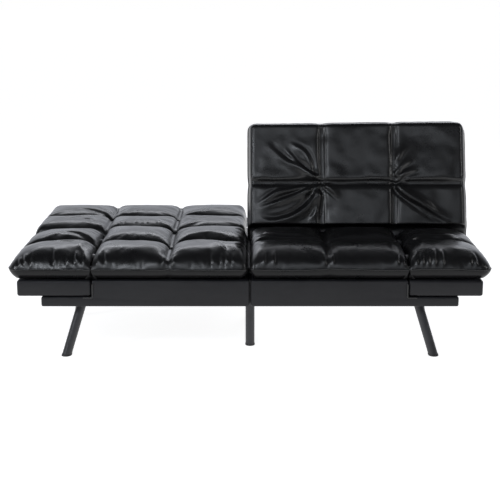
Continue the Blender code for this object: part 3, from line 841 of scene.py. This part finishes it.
RAISED_FOLDS = (  # the right back: swags below its seam and short folds above
    (
        ((0.288, 0.205), (0.262, 0.158), (0.22, 0.116), (0.165, 0.084), (0.085, 0.068), (0.015, 0.09)),
        0.01,
        0.012,
    ),
    (((0.272, 0.212), (0.19, 0.178), (0.098, 0.142), (0.02, 0.116)), 0.007, 0.009),
    (((0.255, 0.22), (0.18, 0.205), (0.11, 0.19), (0.065, 0.16), (0.01, 0.125)), 0.006, 0.008),
    (((0.29, 0.19), (0.28, 0.13), (0.262, 0.09), (0.23, 0.06)), 0.005, 0.009),
    (((0.28, 0.252), (0.26, 0.28), (0.252, 0.32), (0.23, 0.362), (0.19, 0.388), (0.15, 0.405)), 0.005, 0.009),
    (((0.285, 0.245), (0.215, 0.29), (0.15, 0.325), (0.095, 0.372), (0.062, 0.412)), 0.004, 0.012),
    (((0.276, 0.25), (0.222, 0.295), (0.17, 0.35), (0.14, 0.392)), 0.004, 0.008),
    (((0.606, 0.226), (0.655, 0.182), (0.725, 0.138), (0.798, 0.09), (0.885, 0.046)), 0.01, 0.01),
    (((0.618, 0.205), (0.68, 0.15), (0.745, 0.105), (0.8, 0.066)), 0.005, 0.009),
    (((0.608, 0.256), (0.64, 0.3), (0.69, 0.338)), 0.007, 0.009),
    (((0.618, 0.25), (0.662, 0.274), (0.722, 0.296)), 0.006, 0.008),
    (((0.606, 0.29), (0.628, 0.345), (0.668, 0.392)), 0.005, 0.01),
    (((0.312, 0.222), (0.348, 0.19), (0.382, 0.155)), 0.005, 0.007),
)


def crease_front(piece, kind, side):
    """Folds that run from where the seams cross, and gathers along the front edge."""
    crease_all(piece, FRONT_FOLDS[kind, side], ROW_1)
    *size, seed = GATHER_SIZE[kind]
    pleats(piece, GATHERED[kind, side], SEAT_LOW.y + 0.008, *size, seed + SIDES[side])


def crease_flat_back(piece):
    crease_all(piece, FLAT_FOLDS, BACK_AXIS.y)
    pleats(piece, BACK_GATHERED, BACK_AXIS.y + 0.04, 0.07, 0.0016, 0.0055, 4)


def crease_raised_back(piece):
    crease_all(piece, RAISED_FOLDS, BACK_AXIS.y, 1.35, 1.25, (0.08, 0.4))
    for x, start, end, count, reach, seed in (
        (SEAM_B["right"], 190, 350, 6, 0.06, 1),
        (ARM_AXIS.x, 200, 260, 3, 0.05, 2),
        (ARM_AXIS.x, 10, 80, 5, 0.07, 3),
    ):
        fan(piece, (x, ROW_3["right"]), start, end, count, reach, 0.003, 0.006, seed)


# Carrying pieces on the frame
def mirror(piece):
    places = positions(piece.data)
    places[:, 0] *= -1
    set_positions(piece.data, places)
    piece.data.flip_normals()


def turn_up(piece, share=1.0):
    """Turns a piece made lying flat up to the raised right back, each point by its share of the angle."""
    places, angle = positions(piece.data), share * RAISE
    y, z = places[:, 1] - BACK_AXIS.y, places[:, 2] - BACK_AXIS.z
    places[:, 1] = BACK_AXIS.y + y * np.cos(angle) - z * np.sin(angle)
    places[:, 2] = BACK_AXIS.z + y * np.sin(angle) + z * np.cos(angle)
    set_positions(piece.data, places)


def carry(piece, kind, side):
    """Mirrors a piece made in the +X half if it is the left one's, and hangs it on its bodies."""
    sign = SIDES[side]
    if sign < 0:
        mirror(piece)
    if kind == "seat":
        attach(piece, "base")
    elif kind == "arm":
        start = (sign * ARM_AXIS.x, 0.0, 0.0)
        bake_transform(piece, "base", f"{side}_arm", start, (sign * (ARM_AXIS.x + BLEND_REACH), 0.0, 0.0))
    else:
        start = (0.0, BACK_AXIS.y, 0.0)
        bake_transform(piece, "base", f"{side}_back", start, (0.0, BACK_AXIS.y + BLEND_REACH, 0.0))
        if side == "right":
            share = np.empty(len(piece.data.vertices), np.float32)
            piece.data.attributes["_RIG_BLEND"].data.foreach_get("value", share)
            turn_up(piece, share)


def tube(name, path, radius, material, never_along=(0.0, 0.0, 1.0), sides=8):
    """A round cord through points that lie close together. It never runs along the direction never_along."""
    path = np.asarray(path, float)
    count = len(path)
    along = np.gradient(path, axis=0)
    along /= np.linalg.norm(along, axis=1)[:, None]
    across = np.cross(along, never_along)
    across /= np.maximum(np.linalg.norm(across, axis=1), 1e-9)[:, None]
    over = np.cross(across, along)
    points, faces = [], []
    for k in range(sides):
        angle = 2 * math.pi * k / sides
        points.append(path + radius * (math.cos(angle) * across + math.sin(angle) * over))
    points = np.stack(points, 1).reshape(-1, 3)
    for i in range(count - 1):
        for k in range(sides):
            m = (k + 1) % sides
            faces.append((i * sides + k, i * sides + m, (i + 1) * sides + m, (i + 1) * sides + k))
    faces.append(tuple(range(sides)))
    faces.append(tuple((count - 1) * sides + k for k in range(sides)))
    return new_object(name, points, faces, material)


def make_welt(pad, side, kind):
    """The rolled seam along a pad's free edges."""
    places = positions(pad.made.data)
    ring, free = np.array(pad.ring), pad.free
    order = np.roll(np.arange(len(ring)), -int(np.flatnonzero(~free)[0]))
    runs = np.split(order, np.flatnonzero(np.diff(free[order].astype(int))) + 1)
    longest = max((run for run in runs if free[run[0]]), key=len)
    outward = np.column_stack([pad.outward[longest], np.zeros(len(longest))])
    path = places[ring[longest]] + outward * 0.0007
    return tube(f"welt_{kind}_{side}", path, WELT_RADIUS, MATERIALS["pad_leather"])


def make_stitches(pad, side, kind):
    """Rows of thread down both sides of every sewn channel, one stitch to each step of the pad's grid."""
    places, normals = positions(pad.made.data), vertex_normals(pad.made.data)
    rows = [pad.index[i + step, :] for i in pad.seams_x for step in (-1, 1)]
    rows += [pad.index[:, j + step] for j in pad.seams_y for step in (-1, 1)]
    points, faces = [], []
    for row in rows:
        for a, b in zip(row[2:-3], row[3:-2]):
            along = places[b] - places[a]
            length = np.linalg.norm(along)
            if length < 1e-4:
                continue
            along /= length
            out = normals[a] + normals[b]
            out /= np.linalg.norm(out)
            side_way = np.cross(along, out)
            middle = (places[a] + places[b]) / 2 + out * 0.0001
            first = len(points)
            for end in (-1, 1):
                for across, lift in ((-1, 0), (0, 1), (1, 0), (0, -1)):
                    reach = end * STITCH * (0.5 - STITCH_TAPER * abs(across))
                    points.append(middle + along * reach + (side_way * across + out * lift) * THREAD)
            faces += [tuple(first + k for k in ring) for ring in STITCH_FACES]
    return new_object(f"stitches_{kind}_{side}", points, faces, MATERIALS["thread"])


# Boxes and blocks: board shells wrapped in the same leather, its base colour painted lighter here as painted
# light
def wrapped_shell(name, node, sign, steps, y_range, floor, wall):
    """A hollow wrapped box, open underneath. steps: its outer (x, top) corners from the middle outwards."""
    def outline(inset, bottom):
        x_from = steps[0][0] + inset
        found = [(x_from, bottom)]
        for k, (x_to, top) in enumerate(steps[1:]):
            if k:
                found += step_fillet(x_from, top - inset)
            else:
                found.append((x_from, top - inset))
            found.append((x_to - inset, top - inset))
            x_from = x_to - inset
        return found + [(steps[-1][0] - inset, bottom)]

    def prism(label, points, y_low, y_high):
        count = len(points)
        corners = [(sign * x, y, z) for y in (y_low, y_high) for x, z in points]
        faces = [(i, (i + 1) % count, count + (i + 1) % count, count + i) for i in range(count)]
        faces += [tuple(range(count)), tuple(range(count, 2 * count))]
        return new_object(label, corners, faces, MATERIALS["box_leather"])

    made = prism(name, outline(0.0, floor), *y_range)
    rounding = made.modifiers.new("rounding", "BEVEL")
    rounding.width = EDGE_ROUND
    rounding.segments = 5
    rounding.limit_method = "ANGLE"
    rounding.angle_limit = math.radians(30)
    inside = prism(name + "_hollow", outline(wall, floor - 0.02), y_range[0] + wall, y_range[1] - wall)
    carve = made.modifiers.new("hollow", "BOOLEAN")
    carve.operation = "DIFFERENCE"
    carve.object = inside
    mesh = apply_modifiers(made)
    bpy.data.objects.remove(inside)
    mesh.shade_smooth()
    mesh.set_sharp_from_angle(angle=math.radians(40))
    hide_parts(node)
    return made


def step_fillet(x, z):
    """The hollow corner where a box's end steps down, from its wall round to its ledge."""
    turns = [math.pi / 2 * k / 4 for k in range(5)]
    return [(x + STEP_FILLET * (1 - math.cos(t)), z + STEP_FILLET * (1 - math.sin(t))) for t in turns]


def make_step_piping(side, sign, x, ledge):
    """The sewn edge that shows on the front where the box's end steps down under the arm."""
    top = BOX_HIGH.z - EDGE_ROUND
    corner = step_fillet(x, ledge)
    path = [(x, top + (corner[0][1] - top) * k / 12) for k in range(12)] + corner
    path += [(corner[-1][0] + 0.03 * k / 6, ledge) for k in range(1, 7)]
    inward = PIPING * 0.7
    points = [(sign * (px - inward), BOX_LOW.y - 0.0008, pz - inward) for px, pz in path]
    piping = tube(f"piping_{side}", points, PIPING, MATERIALS["pad_leather"], (0.0, 1.0, 0.0))
    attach(piping, "base")


def make_boxes():
    back_low, back_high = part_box("back_block_left")
    arm_low, arm_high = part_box("arm_block_right")
    full_end, ledge = ARM_AXIS.x - 0.0015, arm_low.z - 0.0025
    seat_steps = [(BOX_LOW.x, 0.0), (full_end, BOX_HIGH.z), (BOX_HIGH.x, ledge)]
    arm_steps = [(arm_low.x, 0.0), (arm_high.x, arm_high.z)]
    back_steps = [(-back_high.x, 0.0), (-back_low.x, back_high.z)]
    for side, sign in SIDES.items():
        for kind, node, body, steps, low, high, wall in (
            ("seat", "seat_box", "base", seat_steps, BOX_LOW, BOX_HIGH, BOX_WALL),
            ("arm", "arm_block", f"{side}_arm", arm_steps, arm_low, arm_high, BLOCK_WALL),
            ("back", "back_block", f"{side}_back", back_steps, back_low, back_high, BLOCK_WALL),
        ):
            name = f"box_{kind}_{side}"
            box = wrapped_shell(name, f"{node}_{side}", sign, steps, (low.y, high.y), low.z, wall)
            if (side, kind) == ("right", "back"):
                turn_up(box)
            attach(box, body)
            if kind == "seat":
                make_step_piping(side, sign, full_end, ledge)
        make_staples(side, sign)
        make_gusset(side, sign)


def make_staples(side, sign):
    """Staples that hold the dust cloths, all round each one's edge."""
    for cover, body in (("back_cover", f"{side}_back"), ("arm_cover", f"{side}_arm"), ("dust_cover", "base")):
        low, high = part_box(cover + "_left")
        ends = ((-high.x, -low.x), (low.y, high.y))
        points, faces = [], []
        for along, (start, stop) in enumerate(ends):
            count = max(2, round((stop - start) / STAPLE_GAP))
            for k in range(count):
                middle = start + (stop - start) * (k + 0.5) / count
                for edge, inward in zip(ends[1 - along], (1, -1)):
                    place, half = [middle, edge + inward * STAPLE_INSET], [STAPLE / 2, STAPLE_WIRE / 2]
                    if along:
                        place.reverse()
                        half.reverse()
                    faces += [tuple(len(points) + corner for corner in ring) for ring in BAR_FACES]
                    for dz in (STAPLE_WIRE / 2, -STAPLE_WIRE / 2):
                        for dx, dy in ((-1, -1), (1, -1), (1, 1), (-1, 1)):
                            x, y = place[0] + dx * half[0], place[1] + dy * half[1]
                            points.append((sign * x, y, low.z + dz))
        made = new_object(f"staples_{cover}_{side}", points, faces, MATERIALS["hinge_steel"])
        made.data.shade_flat()
        if (side, cover) == ("right", "back_cover"):
            turn_up(made)
        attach(made, body)


def make_gusset(side, sign):
    """The slack leather flap that fills the gap between the foot of the back and the rear of the arm."""
    xs = np.linspace(ARM_AXIS.x - 0.01, abs(FLAT_BACK_LOW.x) - 0.012, 40)
    ys = np.linspace(ARM_REAR - 0.0045, BACK_AXIS.y + 0.01, 9)
    gx, gy = np.meshgrid(xs, ys, indexing="ij")
    x, y = gx.ravel(), gy.ravel()
    across = (y - ys[0]) / (ys[-1] - ys[0])
    sag = -FLAP_DEPTH * np.sin(math.pi * across) + 0.004 * wave(np.stack([x, y, 0 * x], 1), 22.0, 61)
    z = FOLD_Z - FLAP_DEPTH + sag
    count = len(x)
    points = np.concatenate([np.stack([sign * x, y, z], 1), np.stack([sign * x, y, z - FLAP_SKIN], 1)])
    index = np.arange(count).reshape(len(xs), len(ys))
    faces, rim = squares_of(index), rim_of(index)
    faces += [tuple(v + count for v in reversed(face)) for face in faces]
    faces += [(a, b, b + count, a + count) for a, b in zip(rim, rim[1:] + rim[:1])]
    made = new_object(f"gusset_{side}", points, faces, MATERIALS["pad_leather"])
    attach(made, "base")


def make_link():
    """Steel strap between the two seat boxes, set back from the front, that ties the halves together."""
    front, rear = BOX_LOW.y + 0.03, BOX_HIGH.y - 0.004
    plan = ((-LINK_HALF, front), (LINK_HALF, front), (LINK_HALF, rear), (-LINK_HALF, rear))
    corners = [(x, y, z) for z in (BOX_HIGH.z - 0.006, BOX_LOW.z + 0.006) for x, y in plan]
    made = new_object("link_strap", corners, BAR_FACES, MATERIALS["black_steel"])
    made.data.shade_flat()
    edges = made.modifiers.new("edges", "BEVEL")
    edges.width = 0.0012
    edges.segments = 3
    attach(made, "base")


def make_pads():
    pads = {(side, kind): pad for side in SIDES for kind, pad in half_pads(side).items()}
    for pad in pads.values():
        pad.build()
    fill(list(pads.values()))
    for (side, kind), pad in pads.items():
        refine(pad)
        relax(pad.made, away_from_seams(pad), rounds=2)
        if kind != "back":
            crease_front(pad.made, kind, side)
        elif side == "right":
            crease_raised_back(pad.made)
        else:
            crease_flat_back(pad.made)
        trims = make_welt(pad, side, kind), make_stitches(pad, side, kind)
        carry(pad.made, kind, side)
        for trim in trims:
            carry(trim, kind, side)
        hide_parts(f"{kind}_pad_{side}")


# Studio
def make_camera():
    data = bpy.data.cameras.new("camera")
    data.sensor_width = 36.0
    data.lens = 84.77
    data.clip_end = 100.0
    camera = in_scene("camera", data)
    camera.location = (0.0, -4.8386, 1.4155)
    camera.rotation_euler = (math.radians(90 - 12.83), 0.0, 0.0)
    bpy.context.scene.camera = camera


def soft_box(name, place, target, size, power, colour):
    data = bpy.data.lights.new(name, "AREA")
    data.shape = "RECTANGLE"
    data.size, data.size_y = size
    data.energy = power
    data.color = colour
    light = in_scene(name, data)
    light.location = place
    light.rotation_euler = (Vector(target) - Vector(place)).to_track_quat("-Z", "Y").to_euler()
    light.visible_camera = False


def make_floor():
    made = Nodes("floor_paper")
    fibres = made.noise(400.0, detail=3.0)
    made.set(
        base_color=made.colour_mix(fibres, (0.5, 0.5, 0.5), (0.54, 0.54, 0.54)),
        roughness=0.9,
        normal=made.bump(fibres, 0.0001, 0.2),
        emission_color=(1.0, 1.0, 1.0, 1.0),
        emission_strength=0.9,
    )
    corners = [(x * FLOOR_HALF, y * FLOOR_HALF, 0) for x, y in ((-1, -1), (1, -1), (1, 1), (-1, 1))]
    floor = new_object("floor", corners, [(0, 1, 2, 3)], made.material)


def make_world():
    """A studio that is bright low behind the object, dim elsewhere, and white where the camera sees it."""
    world = bpy.data.worlds.new("studio")
    bpy.context.scene.world = world
    world.use_nodes = True
    new, link = world.node_tree.nodes.new, world.node_tree.links.new
    background = world.node_tree.nodes["Background"]
    split = new("ShaderNodeSeparateXYZ")
    link(new("ShaderNodeTexCoord").outputs["Generated"], split.inputs[0])
    seen = new("ShaderNodeLightPath").outputs["Is Camera Ray"]
    both = new("ShaderNodeMath")
    both.operation = "MULTIPLY_ADD"
    both.inputs[2].default_value = WORLD_DIM
    for k, (axis, values) in enumerate((("Y", WORLD_BEHIND), ("Z", WORLD_ABOVE))):
        part = new("ShaderNodeMapRange")
        part.interpolation_type = "SMOOTHSTEP"
        for key, value in zip(RAMP, values):
            part.inputs[key].default_value = value
        link(split.outputs[axis], part.inputs["Value"])
        link(part.outputs["Result"], both.inputs[k])
    paper = new("ShaderNodeMath")
    paper.operation = "MAXIMUM"
    link(both.outputs["Value"], paper.inputs[0])
    link(seen, paper.inputs[1])
    link(paper.outputs["Value"], background.inputs["Strength"])
    tint = new("ShaderNodeMix")
    tint.data_type = "RGBA"
    sky, white, tinted = sockets_of(tint)
    sky.default_value, white.default_value = (*SKY, 1.0), (1.0, 1.0, 1.0, 1.0)
    link(seen, tint.inputs["Factor"])
    link(tinted, background.inputs["Color"])


paint_frame()
make_pads()
make_boxes()
make_link()
make_camera()
make_floor()
make_world()
for light in LIGHTS:
    soft_box(*light)

view = bpy.context.scene.view_settings
view.view_transform = "Standard"
view.look = "None"
